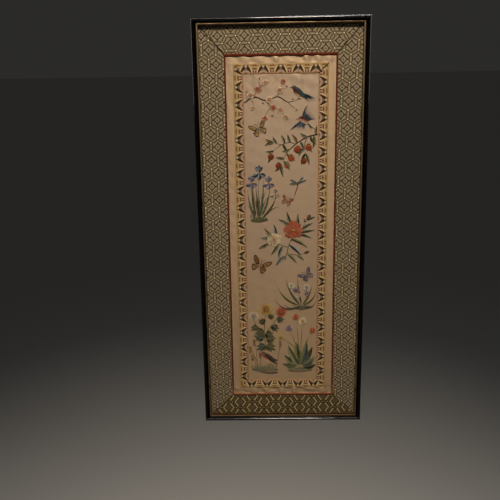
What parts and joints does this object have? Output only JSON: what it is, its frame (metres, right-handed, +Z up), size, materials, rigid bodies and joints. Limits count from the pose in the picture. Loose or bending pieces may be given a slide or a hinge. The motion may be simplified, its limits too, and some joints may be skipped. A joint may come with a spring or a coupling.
{
  "type": "framed embroidery",
  "caption": "Tall narrow silk embroidery with ribbon, piping and brocade borders, in a black lacquered wall frame with a gilt slip.",
  "frame": {"origin": "middle of the top rail's flat back, on the wall plane", "axes": "+Z up along the picture, +Y out of the back into the wall, so the front faces -Y"},
  "size_m": [0.328, 0.019, 0.821],
  "materials": {
    "lacquer": "black lacquer, glossy, worn along the edges",
    "gilt": "gilt wood, dulled",
    "board": "raw board",
    "brocade": "silk brocade, hexagons and diamonds in olive and old gold",
    "piping": "dark red silk piping",
    "satin": "cream silk satin",
    "ribbon": "woven ribbon, gold ground with dark and red figures",
    "thread": "silk embroidery thread in many colours"
  },
  "bodies": {
    "root": {"rail_top": "lacquer", "rail_right": "lacquer", "rail_bottom": "lacquer", "rail_left": "lacquer", "slip_top": "gilt", "slip_right": "gilt", "slip_bottom": "gilt", "slip_left": "gilt", "backing_board": "board", "brocade_top": "brocade", "brocade_right": "brocade", "brocade_bottom": "brocade", "brocade_left": "brocade", "piping_top": "piping", "piping_right": "piping", "piping_bottom": "piping", "piping_left": "piping", "satin_panel": "satin", "ribbon_top": "ribbon", "ribbon_right": "ribbon", "ribbon_bottom": "ribbon", "ribbon_left": "ribbon"}
  },
  "joints": []
}
